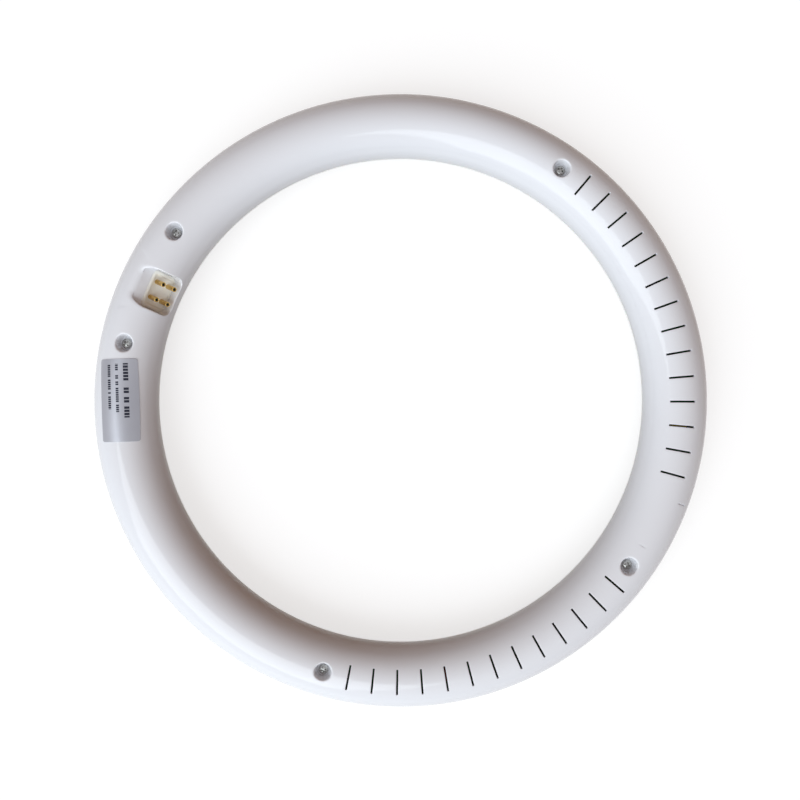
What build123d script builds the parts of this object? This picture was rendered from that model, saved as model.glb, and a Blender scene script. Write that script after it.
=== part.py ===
from build123d import *
import os
from math import copysign, cos, degrees, radians, sin, sqrt, tan

os.makedirs("parts", exist_ok=True)

# Ring-shaped LED lamp that replaces a circular fluorescent tube, in millimetres.
# It lies on its light side, back up: the origin is the middle of the ring on the
# surface below, +Z is up and the plug pocket is on +X. Angles run round the ring from +X.

# Ring and tube section
ring_outer_diameter = 299.0
tube_width = 30.5
back_rise = 16.5
front_depth = 14.5
housing_wall = 1.8
diffuser_wall = 1.8
fit_clearance = 0.15
skin_cover = 0.2

# Seam between the two shells, with the light board clamped in it
rim_wall = 1.05
lip_wall = 0.85
lip_depth = 1.6
ledge_width = 1.8
led_board_thickness = 1.2

# Flat-sided cavity inside both shells
cavity_sides = 12

# Light packages, staggered in two rows under the light board
led_count = 72
led_length = 3.5
led_width = 2.8
led_height = 0.7
led_row_offset = 6.5

# Screws in their wells
screw_angles = (-12.5, 12.5, 98.2, 168.2, 259.4)
well_mouth_diameter = 8.4
well_floor_diameter = 6.4
well_depth = 6.2
well_wall = 1.4
well_floor_thickness = 2.0
screw_head_diameter = 4.7
screw_head_height = 1.8
screw_head_chamfer = 0.7
screw_shank_diameter = 2.6
screw_length = 15.0
screw_recess_length = 2.8
screw_recess_width = 0.7
screw_recess_depth = 1.1
boss_diameter = 7.0
thread_clearance = 0.03

# Vent slots: middle angle and number of each group
vent_group_angles = (133.5, 221.45)
vent_counts = (13, 14)
vent_pitch = 5.0
vent_length = 12.0
vent_width = 1.0
vent_reach = 5.0

# Plug pocket, measured from the middle of the tube along the tilted pin axis
connector_tilt = 45.0
pocket_floor = 8.75
pocket_width = 18.8
pocket_outer_reach = 14.5
pocket_inner_reach = 6.0
pocket_corner = 4.0
pocket_draft = 2.0
base_outer_reach = 7.2
base_corner = 2.2
base_rim_width = 1.9
base_inner_rim = 0.55
base_recess_depth = 1.0
base_recess_corner = 1.1
base_flange_width = 1.3
base_flange_thickness = 1.6

# Contact pins
pin_pitch_along = 7.92
pin_pitch_across = 6.35
pin_diameter = 2.4
pin_bore_diameter = 1.5
pin_bore_depth = 5.0
pin_length = 7.0
pin_tail_diameter = 2.0
pin_tail = 1.6
pin_tip_chamfer = 0.35
bridge_thickness = 0.6
bridge_width = 4.0

# Label, stuck over the crown
label_angle = 24.2
label_offset = -0.65
label_lean = 1.7
label_length = 39.4
label_width = 17.9
label_corner = 1.0
label_thickness = 0.12
label_glue = 0.1

# Curved circuit boards, hung from posts under the two vented spans
board_spans = {"input_board": (102.6, 164.0), "driver_board": (172.6, 255.0)}
board_width = 21.0
board_thickness = 1.6
board_lift = 1.8
post_width = 3.2
post_tab_width = 1.6
post_tab_drop = 0.6
post_offset = 8.2
post_inset = 2.6

# Parts on the input board: place round the ring, then size
fuse_angle = 110.5
fuse_offset = -4.8
fuse_diameter = 3.6
fuse_length = 9.0
varistor_angle = 111.5
varistor_offset = 4.4
varistor_diameter = 7.0
varistor_thickness = 3.6
varistor_lift = 0.8
film_angle = 121.5
film_length = 12.5
film_width = 6.0
film_height = 8.0
film_chamfer = 0.6
choke_angle = 131.5
choke_diameter = 8.0
choke_height = 8.0
choke_flange = 1.2
choke_winding_diameter = 6.6
rectifier_angle = 141.0
rectifier_length = 8.4
rectifier_width = 6.4
rectifier_height = 2.4
bulk_angle = 151.5
bulk_diameter = 8.0
bulk_length = 14.0

# Parts on the driver board
chip_angle = 184.0
chip_length = 4.9
chip_width = 3.9
chip_height = 1.4
chip_leg_pitch = 1.27
transformer_angle = 199.0
core_width = 12.0
core_length = 11.6
core_thickness = 4.6
core_middle_leg = 3.2
core_outer_leg = 1.6
bobbin_wall = 0.7
bobbin_height = 8.6
diode_angle = 214.0
diode_length = 4.4
diode_width = 2.7
diode_height = 2.2
output_angle = 228.0
output_diameter = 6.3
output_length = 11.0

# Component wires and legs
wire_width = 0.6
wire_reach = 1.6
leg_lift = 0.4
can_neck_depth = 0.4
can_neck_length = 0.8
can_collar_length = 1.2

# Leads, as (angle, outward offset, height above the surface they lie on)
lead_diameter = 1.2
lead_sides = 6
lead_rest_gap = 0.05
lead_board_gap = 0.15
lead_first_run = 7.5
bend_share = 0.45

# Sizes worked out from those above
tube_half = tube_width / 2
tube_radius = ring_outer_diameter / 2 - tube_half
parting_height = front_depth
crown_height = front_depth + back_rise
rebate_half = tube_half - rim_wall
lip_outer_half = rebate_half - fit_clearance
led_board_top = parting_height - lip_depth
led_board_bottom = led_board_top - led_board_thickness
led_board_half = rebate_half - fit_clearance
screw_seat = crown_height - well_depth
boss_top = screw_seat - well_floor_thickness
screw_hole_radius = screw_shank_diameter / 2 + fit_clearance
board_bottom = led_board_top + board_lift
board_top = board_bottom + board_thickness
pocket_length = pocket_outer_reach + pocket_inner_reach
pocket_middle = (pocket_outer_reach - pocket_inner_reach) / 2
base_width = pocket_width - 2 * fit_clearance
base_inner_reach = pocket_inner_reach - fit_clearance
base_length = base_outer_reach + base_inner_reach
base_middle = (base_outer_reach - base_inner_reach) / 2
flange_top = pocket_floor - housing_wall
flange_bottom = flange_top - base_flange_thickness
pin_floor = pocket_floor - base_recess_depth
pin_plane = Plane(
    origin=(tube_radius, 0, parting_height),
    x_dir=(0, -1, 0),
    z_dir=(-sin(radians(connector_tilt)), 0, cos(radians(connector_tilt))),
)
vent_angles = [
    middle + (step - (count - 1) / 2) * vent_pitch
    for middle, count in zip(vent_group_angles, vent_counts)
    for step in range(count)
]
# The revolved shells close on themselves here, clear of every cut
quiet_angle = 60.0

ON_FLOOR = (Align.CENTER, Align.CENTER, Align.MIN)
HANGING = (Align.CENTER, Align.CENTER, Align.MAX)


def ring_plane(angle):
    """Upright plane through the ring's axis, with X outward and Y up."""
    turn = radians(angle)
    return Plane(origin=(0, 0, 0), x_dir=(cos(turn), sin(turn), 0), z_dir=(sin(turn), -cos(turn), 0))


def section_radius(rise):
    """Radius of the tube's round section, from its rise above or below the parting line."""
    return (tube_half**2 + rise**2) / (2 * abs(rise))


def cover_height(offset):
    """Height of a fitting's top that the back's outer skin still covers at this offset."""
    arc_radius = section_radius(back_rise)
    return crown_height - arc_radius + sqrt(arc_radius**2 - offset**2) - skin_cover


def half_tube(rise, skin=0.0, mode=Mode.ADD):
    """Face of the tube's round section above the parting line, or below it for a negative rise."""
    arc_radius = section_radius(rise)
    arc_drop = arc_radius - abs(rise)
    half = sqrt((arc_radius + skin) ** 2 - arc_drop**2)
    tip = parting_height + rise + copysign(1, rise) * skin
    with BuildLine() as outline:
        ThreePointArc(
            (tube_radius - half, parting_height),
            (tube_radius, tip),
            (tube_radius + half, parting_height),
        )
        Line(outline.line @ 1, outline.line @ 0)
    make_face(outline.edges(), mode=mode)


def ring_place(angle, offset=0.0, height=0.0):
    """Place on the tube's middle line, moved outward and up, with X outward and Y along the tube."""
    return Rotation(0, 0, angle) * Pos(tube_radius + offset, 0, height)


def write(part, name):
    """Label a finished piece and write it."""
    part.label = name
    export_step(part, f"parts/{name}.step")


def board_place(angle, offset=0.0, lift=0.0):
    """Place on a curved board's upper face."""
    return ring_place(angle, offset, board_top + lift)


def bent_leg(place, height):
    """Square wire from a body's end at a height, out along the tube and down to the board."""
    with Locations(place * Pos(0, 0, height)):
        Box(wire_width, wire_reach + wire_width, wire_width, align=(Align.CENTER, Align.MIN, Align.CENTER))
    with Locations(place * Pos(0, wire_reach, 0)):
        Box(wire_width, wire_width, height, align=(Align.CENTER, Align.MIN, Align.MIN))


def lying_can(place, diameter, length):
    """Electrolytic capacitor lying along the tube, with a crimped neck and two legs at one end."""
    radius = diameter / 2
    neck_start = length / 2 - can_collar_length - can_neck_length
    with BuildPart() as can:
        with Locations(place * Pos(0, 0, radius)):
            Cylinder(radius - can_neck_depth, length, rotation=(90, 0, 0))
        with Locations(place * Pos(0, (neck_start - length / 2) / 2, radius)):
            Cylinder(radius, neck_start + length / 2, rotation=(90, 0, 0))
        with Locations(place * Pos(0, (length - can_collar_length) / 2, radius)):
            Cylinder(radius, can_collar_length, rotation=(90, 0, 0))
        for side in (-1, 1):
            bent_leg(place * Pos(side * radius / 2, length / 2, 0), radius)
    return can.part


def post_places(height):
    """Places of the four posts of each curved board."""
    return [
        ring_place(angle, side * post_offset, height)
        for first, last in board_spans.values()
        for angle in (first + post_inset, last - post_inset)
        for side in (-1, 1)
    ]


# Walls of the plug pocket, which end half way through the back housing's wall
with BuildPart() as pocket_walls:
    with BuildSketch(pin_plane.offset(flange_top)):
        with Locations((0, pocket_middle)):
            RectangleRounded(
                pocket_width + 2 * housing_wall,
                pocket_length + 2 * housing_wall,
                pocket_corner + housing_wall,
            )
    extrude(amount=tube_width, taper=-pocket_draft)
    with BuildSketch(ring_plane(quiet_angle)):
        half_tube(back_rise, -housing_wall / 2)
    revolve(axis=Axis.Z, mode=Mode.INTERSECT)

# Back housing: moulded shell with screw wells, board posts, plug pocket and vents
with BuildPart() as back_housing:
    with BuildSketch(ring_plane(quiet_angle)):
        half_tube(back_rise)
        with Locations((tube_radius, crown_height - tube_half)):
            RegularPolygon(
                tube_half - housing_wall,
                cavity_sides,
                rotation=180 / cavity_sides,
                mode=Mode.SUBTRACT,
            )
    revolve(axis=Axis.Z)
    add(pocket_walls.part)
    # Tubes that carry the wells, and posts that carry the boards
    well_tube_radius = well_floor_diameter / 2 + well_wall
    with Locations(*[ring_place(angle, height=boss_top) for angle in screw_angles]):
        Cylinder(well_tube_radius, cover_height(well_tube_radius) - boss_top, align=ON_FLOOR)
    with Locations(*post_places(board_top)):
        Box(post_width, post_width, cover_height(post_offset + post_width / 2) - board_top, align=ON_FLOOR)
    # Lips that drop inside the diffuser's rim and hold the light board down
    with BuildSketch(ring_plane(quiet_angle)):
        for side in (-1, 1):
            with Locations((tube_radius + side * (lip_outer_half - lip_wall / 2), led_board_top)):
                Rectangle(lip_wall, lip_depth + housing_wall / 2, align=(Align.CENTER, Align.MIN))
    revolve(axis=Axis.Z)
    with Locations(*post_places(board_top)):
        Box(post_tab_width, post_tab_width, board_thickness + post_tab_drop, align=HANGING)
    # Wells, straight at the mouth and tapered below it, with a hole for the screw in each floor
    with Locations(*[ring_place(angle, height=crown_height) for angle in screw_angles]):
        Cylinder(well_mouth_diameter / 2, housing_wall, mode=Mode.SUBTRACT)
    with Locations(*[ring_place(angle, height=screw_seat) for angle in screw_angles]):
        Cone(
            well_floor_diameter / 2,
            well_mouth_diameter / 2,
            well_depth - housing_wall / 2,
            align=ON_FLOOR,
            mode=Mode.SUBTRACT,
        )
        Cylinder(screw_hole_radius, well_floor_thickness, align=HANGING, mode=Mode.SUBTRACT)
    # Vents, swept a slot's width round the ring
    vent_turn = degrees(vent_width / tube_radius)
    with BuildSketch(*[ring_plane(angle - vent_turn / 2) for angle in vent_angles]):
        with Locations((tube_radius, crown_height)):
            Rectangle(vent_length, 2 * vent_reach)
    revolve(axis=Axis.Z, revolution_arc=vent_turn, mode=Mode.SUBTRACT)
    # Plug pocket and the opening for the pin base in its floor
    with BuildSketch(pin_plane.offset(pocket_floor)):
        with Locations((0, pocket_middle)):
            RectangleRounded(pocket_width, pocket_length, pocket_corner)
    extrude(amount=tube_width, taper=-pocket_draft, mode=Mode.SUBTRACT)
    with BuildSketch(pin_plane.offset(pocket_floor)):
        with Locations((0, base_middle)):
            RectangleRounded(base_width + 2 * fit_clearance, base_length + 2 * fit_clearance, base_corner)
    extrude(amount=-2 * housing_wall, mode=Mode.SUBTRACT)
write(back_housing.part, "back_housing")

# Diffuser: the light side, with a shelf for the light board and a boss under each well
with BuildPart() as diffuser:
    with BuildSketch(ring_plane(quiet_angle)):
        half_tube(-front_depth)
    revolve(axis=Axis.Z)
    with BuildSketch(ring_plane(quiet_angle)):
        with Locations((tube_radius, tube_half)):
            RegularPolygon(tube_half - diffuser_wall, cavity_sides, rotation=180 / cavity_sides)
            Rectangle(2 * (rebate_half - ledge_width), tube_width, mode=Mode.INTERSECT)
        with Locations((tube_radius, parting_height)):
            Rectangle(
                2 * rebate_half,
                lip_depth + led_board_thickness,
                align=(Align.CENTER, Align.MAX),
            )
    revolve(axis=Axis.Z, mode=Mode.SUBTRACT)
    with Locations(*[ring_place(angle, height=boss_top) for angle in screw_angles]):
        Cylinder(boss_diameter / 2, boss_top - diffuser_wall / 2, align=HANGING)
        Cylinder(
            screw_shank_diameter / 2 + thread_clearance,
            screw_length - well_floor_thickness + fit_clearance,
            align=HANGING,
            mode=Mode.SUBTRACT,
        )
write(diffuser.part, "diffuser")

# Light board: flat ring on the diffuser's shelf, with a hole for each boss
with BuildPart() as led_board:
    with BuildSketch(Plane.XY.offset(led_board_bottom)):
        Circle(tube_radius + led_board_half)
        Circle(tube_radius - led_board_half, mode=Mode.SUBTRACT)
        with Locations(*[ring_place(angle) for angle in screw_angles]):
            Circle(boss_diameter / 2 + fit_clearance, mode=Mode.SUBTRACT)
    extrude(amount=led_board_thickness)
write(led_board.part, "led_board")

# Light packages under the light board, staggered left and right of the bosses
with BuildPart() as led_packages:
    led_places = [
        ring_place(index * 360 / led_count, led_row_offset * (-1) ** index, led_board_bottom)
        for index in range(led_count)
    ]
    with Locations(*led_places):
        Box(led_length, led_width, led_height, align=HANGING)
write(led_packages.part, "led_packages")

# Screws: pan head with a cross recess, plain shank
with BuildPart() as housing_screws:
    with Locations(*[ring_place(angle, height=screw_seat) for angle in screw_angles]):
        Cylinder(screw_head_diameter / 2, screw_head_height, align=ON_FLOOR)
        Cylinder(screw_shank_diameter / 2, screw_length, align=HANGING)
    head_rims = housing_screws.edges().filter_by(GeomType.CIRCLE).group_by(Axis.Z)[-1]
    chamfer(head_rims, screw_head_chamfer)
    with Locations(*[ring_place(angle, height=screw_seat + screw_head_height) for angle in screw_angles]):
        Box(screw_recess_length, screw_recess_width, 2 * screw_recess_depth, mode=Mode.SUBTRACT)
        Box(screw_recess_width, screw_recess_length, 2 * screw_recess_depth, mode=Mode.SUBTRACT)
write(housing_screws.part, "housing_screws")

# Pin base: off-white insert with a rim, a sunk floor and a flange behind the pocket's floor
with BuildPart() as pin_base:
    with BuildSketch(pin_plane.offset(flange_top)):
        with Locations((0, base_middle)):
            RectangleRounded(base_width, base_length, base_corner)
    extrude(amount=housing_wall)
    with BuildSketch(pin_plane.offset(flange_bottom)):
        with Locations((0, -base_inner_reach)):
            Rectangle(
                base_width + 2 * base_flange_width,
                base_length + base_flange_width,
                align=(Align.CENTER, Align.MIN),
            )
    extrude(amount=base_flange_thickness)
    with BuildSketch(pin_plane.offset(pocket_floor)):
        with Locations((0, base_middle + (base_inner_rim - base_rim_width) / 2)):
            RectangleRounded(
                base_width - 2 * base_rim_width,
                base_length - base_rim_width - base_inner_rim,
                base_recess_corner,
            )
    extrude(amount=-base_recess_depth, mode=Mode.SUBTRACT)
    with BuildSketch(pin_plane.offset(flange_bottom)):
        with GridLocations(pin_pitch_along, pin_pitch_across, 2, 2):
            Circle(pin_tail_diameter / 2)
    extrude(amount=pocket_floor - flange_bottom, mode=Mode.SUBTRACT)
write(pin_base.part, "pin_base")

# Contact pins: hollow, with a shoulder on the pin base and a thinner tail through it to the bridge
pin_points = [
    (along * pin_pitch_along / 2, across * pin_pitch_across / 2) for along in (-1, 1) for across in (-1, 1)
]
for number, point in enumerate(pin_points, start=1):
    with BuildPart() as contact_pin:
        with BuildSketch(pin_plane.offset(pin_floor)):
            with Locations(point):
                Circle(pin_diameter / 2)
        extrude(amount=pin_length)
        pin_axis = Axis(pin_plane.origin, pin_plane.z_dir)
        chamfer(contact_pin.faces().sort_by(pin_axis)[-1].edges(), pin_tip_chamfer)
        with BuildSketch(pin_plane.offset(pin_floor)):
            with Locations(point):
                Circle(pin_tail_diameter / 2)
        extrude(amount=flange_bottom - pin_tail - pin_floor)
        with BuildSketch(pin_plane.offset(pin_floor + pin_length)):
            with Locations(point):
                Circle(pin_bore_diameter / 2)
        extrude(amount=-pin_bore_depth, mode=Mode.SUBTRACT)
    write(contact_pin.part, f"contact_pin_{number}")

# Bridges that join the two pins of each tube end, flat on the back of the pin base
for number, side in enumerate((-1, 1), start=1):
    with BuildPart() as pin_bridge:
        with BuildSketch(pin_plane.offset(flange_bottom - bridge_thickness)):
            with Locations((side * pin_pitch_along / 2, 0)):
                SlotCenterToCenter(pin_pitch_across, bridge_width, rotation=90)
                with GridLocations(0, pin_pitch_across, 1, 2):
                    Circle(pin_tail_diameter / 2, mode=Mode.SUBTRACT)
        extrude(amount=bridge_thickness)
    write(pin_bridge.part, f"pin_bridge_{number}")

# Label: straight-sided thin foil over the crown, on its layer of glue
with BuildPart() as rating_label:
    label_turn = degrees(label_length / tube_radius)
    label_place = ring_place(label_angle, label_offset, parting_height) * Rotation(0, 0, label_lean)
    with BuildSketch(Plane(label_place)):
        RectangleRounded(label_width, label_length, label_corner)
    extrude(amount=tube_width)
    with BuildSketch(ring_plane(label_angle - label_turn)):
        half_tube(back_rise, label_glue + label_thickness)
    revolve(axis=Axis.Z, revolution_arc=2 * label_turn, mode=Mode.INTERSECT)
    with BuildSketch(ring_plane(label_angle - label_turn)):
        half_tube(back_rise, label_glue)
    revolve(axis=Axis.Z, revolution_arc=2 * label_turn, mode=Mode.SUBTRACT)
write(rating_label.part, "rating_label")

# Curved boards on their posts
for name, (first, last) in board_spans.items():
    with BuildPart() as curved_board:
        with BuildSketch(ring_plane(first)):
            with Locations((tube_radius, board_bottom)):
                Rectangle(board_width, board_thickness, align=(Align.CENTER, Align.MIN))
        revolve(axis=Axis.Z, revolution_arc=last - first)
        with Locations(*post_places(board_bottom)):
            Box(
                post_tab_width + 2 * fit_clearance,
                post_tab_width + 2 * fit_clearance,
                board_thickness,
                align=ON_FLOOR,
                mode=Mode.SUBTRACT,
            )
    write(curved_board.part, name)

# Parts on the input board
with BuildPart() as fuse:
    fuse_place = board_place(fuse_angle, fuse_offset)
    with Locations(fuse_place * Pos(0, 0, fuse_diameter / 2)):
        Cylinder(fuse_diameter / 2, fuse_length, rotation=(90, 0, 0))
    for turn in (0, 180):
        bent_leg(fuse_place * Rotation(0, 0, turn) * Pos(0, fuse_length / 2, 0), fuse_diameter / 2)
write(fuse.part, "fuse")

with BuildPart() as varistor:
    varistor_middle = varistor_lift + varistor_diameter / 2
    with Locations(board_place(varistor_angle, varistor_offset, varistor_middle)):
        Cylinder(varistor_diameter / 2, varistor_thickness, rotation=(90, 0, 0))
    for side in (-1, 1):
        with Locations(board_place(varistor_angle, varistor_offset + side * varistor_diameter / 4)):
            Box(wire_width, wire_width, varistor_middle, align=ON_FLOOR)
write(varistor.part, "varistor")

with BuildPart() as film_capacitor:
    with Locations(board_place(film_angle)):
        Box(film_width, film_length, film_height, align=ON_FLOOR)
    chamfer(film_capacitor.faces().sort_by(Axis.Z)[-1].edges(), film_chamfer)
write(film_capacitor.part, "film_capacitor")

with BuildPart() as filter_choke:
    with Locations(board_place(choke_angle)):
        Cylinder(choke_winding_diameter / 2, choke_height, align=ON_FLOOR)
        Cylinder(choke_diameter / 2, choke_flange, align=ON_FLOOR)
    with Locations(board_place(choke_angle, lift=choke_height)):
        Cylinder(choke_diameter / 2, choke_flange, align=HANGING)
write(filter_choke.part, "filter_choke")

with BuildPart() as bridge_rectifier:
    with Locations(board_place(rectifier_angle, lift=leg_lift)):
        Box(rectifier_width, rectifier_length, rectifier_height, align=ON_FLOOR)
    with Locations(board_place(rectifier_angle)):
        with GridLocations(rectifier_width, rectifier_length / 2, 2, 2):
            Box(2 * wire_width, wire_width, leg_lift + rectifier_height / 2, align=ON_FLOOR)
write(bridge_rectifier.part, "bridge_rectifier")

write(lying_can(board_place(bulk_angle), bulk_diameter, bulk_length), "bulk_capacitor")

# Parts on the driver board
with BuildPart() as driver_chip:
    with Locations(board_place(chip_angle, lift=leg_lift)):
        Box(chip_width, chip_length, chip_height, align=ON_FLOOR)
    with Locations(board_place(chip_angle)):
        with GridLocations(chip_width + wire_width, chip_leg_pitch, 2, 4):
            Box(2 * wire_width, wire_width, leg_lift + chip_height / 2, align=ON_FLOOR)
write(driver_chip.part, "driver_chip")

# Transformer: flat core round a wound bobbin, which stands on its two end plates
core_place = board_place(transformer_angle, lift=bobbin_height / 2)
window_width = (core_width - core_middle_leg) / 2 - core_outer_leg
window_length = core_length - 2 * core_outer_leg
bobbin_width = core_middle_leg + 2 * window_width - 2 * fit_clearance
sleeve_hole_width = core_middle_leg + 2 * fit_clearance
sleeve_hole_height = core_thickness + 2 * fit_clearance
sleeve_width = sleeve_hole_width + 2 * bobbin_wall
sleeve_height = sleeve_hole_height + 2 * bobbin_wall
bobbin_length = window_length - 2 * fit_clearance
with BuildPart() as transformer_core:
    with Locations(core_place):
        Box(core_width, core_length, core_thickness)
        with GridLocations(core_middle_leg + window_width, 0, 2, 1):
            Box(window_width, window_length, core_thickness, mode=Mode.SUBTRACT)
write(transformer_core.part, "transformer_core")

with BuildPart() as transformer_bobbin:
    with Locations(core_place):
        Box(sleeve_width, bobbin_length, sleeve_height)
        with GridLocations(0, bobbin_length - bobbin_wall, 1, 2):
            Box(bobbin_width, bobbin_wall, bobbin_height)
        Box(sleeve_hole_width, bobbin_length, sleeve_hole_height, mode=Mode.SUBTRACT)
write(transformer_bobbin.part, "transformer_bobbin")

with BuildPart() as transformer_winding:
    with Locations(core_place):
        winding_length = bobbin_length - 2 * bobbin_wall
        Box(bobbin_width - bobbin_wall, winding_length, bobbin_height - bobbin_wall)
        chamfer(transformer_winding.edges().filter_by(GeomType.LINE).group_by(Edge.length)[-1], bobbin_wall)
        Box(sleeve_width, winding_length, sleeve_height, mode=Mode.SUBTRACT)
write(transformer_winding.part, "transformer_winding")

with BuildPart() as output_diode:
    with Locations(board_place(diode_angle)):
        Box(diode_width, diode_length, diode_height, align=ON_FLOOR)
        Box(2 * wire_width, diode_length + 2 * wire_width, wire_width, align=ON_FLOOR)
write(output_diode.part, "output_diode")

write(lying_can(board_place(output_angle), output_diameter, output_length), "output_capacitor")


# Leads: six-sided rods along straight runs and arcs as large as the runs allow
def lead(name, points):
    """Write one lead along its points, and print the radii of its bends."""
    runs = [after - before for before, after in zip(points, points[1:])]
    bends = [
        bend_share * min(before.length, after.length) / tan(radians(before.get_angle(after)) / 2)
        for before, after in zip(runs, runs[1:])
    ]
    print(name, "bend radii", [round(bend, 1) for bend in bends])
    with BuildPart() as rod:
        with BuildLine() as route:
            FilletPolyline(*points, radius=bends)
        with BuildSketch(Plane(origin=route.line @ 0, z_dir=route.line % 0)):
            RegularPolygon(lead_diameter / 2, lead_sides)
        sweep()
    write(rod.part, name)


def on_ring(route):
    """Points of a route given as (angle, offset, height)."""
    return [ring_place(angle, offset, height).position for angle, offset, height in route]


low = led_board_top + lead_diameter / 2 + lead_rest_gap
high = board_top + lead_diameter / 2 + lead_board_gap
middle = (low + high) / 2
tail_level = flange_bottom - pin_tail
input_routes = (
    (-1, 5.8, 6.2, (6.5, 14, 25, 36, 47, 58, 69, 80, 90), ((98, 5.8), (101.6, 4.0), (105.5, 3.0))),
    (1, 8.6, 9.2, (3.2, 10, 19, 30, 41, 52, 63, 74, 84, 93), ((98, 8.0), (101.6, 5.8), (105.5, 5.0))),
)
for number, (side, first_offset, offset, angles, ending) in enumerate(input_routes, start=1):
    tail = [
        pin_plane.from_local_coords((side * pin_pitch_along / 2, pin_pitch_across / 2, level))
        for level in (tail_level, tail_level - lead_first_run)
    ]
    route = [(angles[0], first_offset, low)]
    route += [(angle, offset, low) for angle in angles[1:]]
    route += [(*place, height) for place, height in zip(ending, (middle, high, high))]
    lead(f"input_lead_{number}", tail + on_ring(route))

for number, side in enumerate((-1, 1), start=1):
    link_route = ((159.5, 3.2), (163, 3.6), (168.2, 6.8), (173.4, 3.6), (177, 3.2))
    lead(f"link_lead_{number}", on_ring([(angle, side * offset, high) for angle, offset in link_route]))

for number, side in enumerate((-1, 1), start=1):
    led_route = (
        (245.5, 3.2, high),
        (250.5, 3.8, high),
        (256, 5.6, high),
        (260.2, 6.9, middle),
        (264.6, 7.0, low),
        (269.5, 6.6, low),
    )
    led_points = [(angle, side * offset, height) for angle, offset, height in led_route]
    lead(f"led_lead_{number}", on_ring(led_points))
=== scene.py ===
"""Looks of a ring-shaped LED lamp that lies on its light side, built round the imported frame."""

import logging
from collections.abc import Callable
from dataclasses import dataclass, field
from enum import Enum
from math import cos, hypot, radians, sin, tan

import bpy
import numpy as np
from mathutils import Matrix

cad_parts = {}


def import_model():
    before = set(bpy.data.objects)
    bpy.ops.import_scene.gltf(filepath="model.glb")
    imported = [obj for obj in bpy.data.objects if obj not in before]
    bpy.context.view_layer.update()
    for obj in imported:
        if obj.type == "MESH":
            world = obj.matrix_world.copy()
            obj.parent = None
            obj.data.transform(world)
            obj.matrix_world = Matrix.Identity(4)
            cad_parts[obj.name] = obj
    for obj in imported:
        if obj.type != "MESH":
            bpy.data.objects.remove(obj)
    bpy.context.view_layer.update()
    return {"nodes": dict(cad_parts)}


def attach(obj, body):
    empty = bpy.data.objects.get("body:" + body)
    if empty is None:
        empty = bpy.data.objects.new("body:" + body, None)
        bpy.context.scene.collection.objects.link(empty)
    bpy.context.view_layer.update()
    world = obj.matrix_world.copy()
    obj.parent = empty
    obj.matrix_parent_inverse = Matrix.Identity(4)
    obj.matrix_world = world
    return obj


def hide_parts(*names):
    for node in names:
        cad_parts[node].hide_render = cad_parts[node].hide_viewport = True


LOG = logging.getLogger("ring_lamp")
MM = 0.001
TINY = 1e-9
BODY = "root"
NOISE_DETAIL = 3.0
# Sockets of a Mix node that hold its two colours and their mix
MIX_FIRST, MIX_SECOND, MIXED = 6, 7, 2

Array = np.ndarray
Node = bpy.types.Node
Object = bpy.types.Object
Material = bpy.types.Material
NodeTree = bpy.types.NodeTree
Socket = bpy.types.NodeSocket
Pair = tuple[float, float]
Shares = tuple[float, ...]


def linear(hex_colour: str) -> tuple[float, float, float, float]:
    """Turn an sRGB hex colour to linear RGBA, by the sRGB curve: a straight start, then a power of 2.4.

    Args:
        hex_colour: colour such as "#EDEFF2".

    Returns:
        Red, green, blue and an alpha of 1, in linear light.
    """
    codes = np.array([int(hex_colour[at : at + 2], 16) for at in (1, 3, 5)]) / 255.0
    values = np.where(codes <= 0.04045, codes / 12.92, ((codes + 0.055) / 1.055) ** 2.4)
    return (*(float(value) for value in values), 1.0)


def add_node(tree: NodeTree, kind: str, inputs: dict | None = None, **settings: object) -> Node:
    """Add a node with its settings and links.

    Args:
        tree: node tree that takes the node.
        kind: Blender's name of the node type.
        inputs: input name or number to a value, or to the output socket that feeds it.
        settings: attributes of the node.

    Returns:
        The new node.
    """
    node = tree.nodes.new(kind)
    for name, value in settings.items():
        setattr(node, name, value)
    for key, value in (inputs or {}).items():
        if isinstance(value, Socket):
            tree.links.new(value, node.inputs[key])
        else:
            node.inputs[key].default_value = value
    return node


class Coordinates(Enum):
    """Texture coordinates that a finish may follow."""

    OBJECT = "Object"
    UV = "UV"


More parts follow.
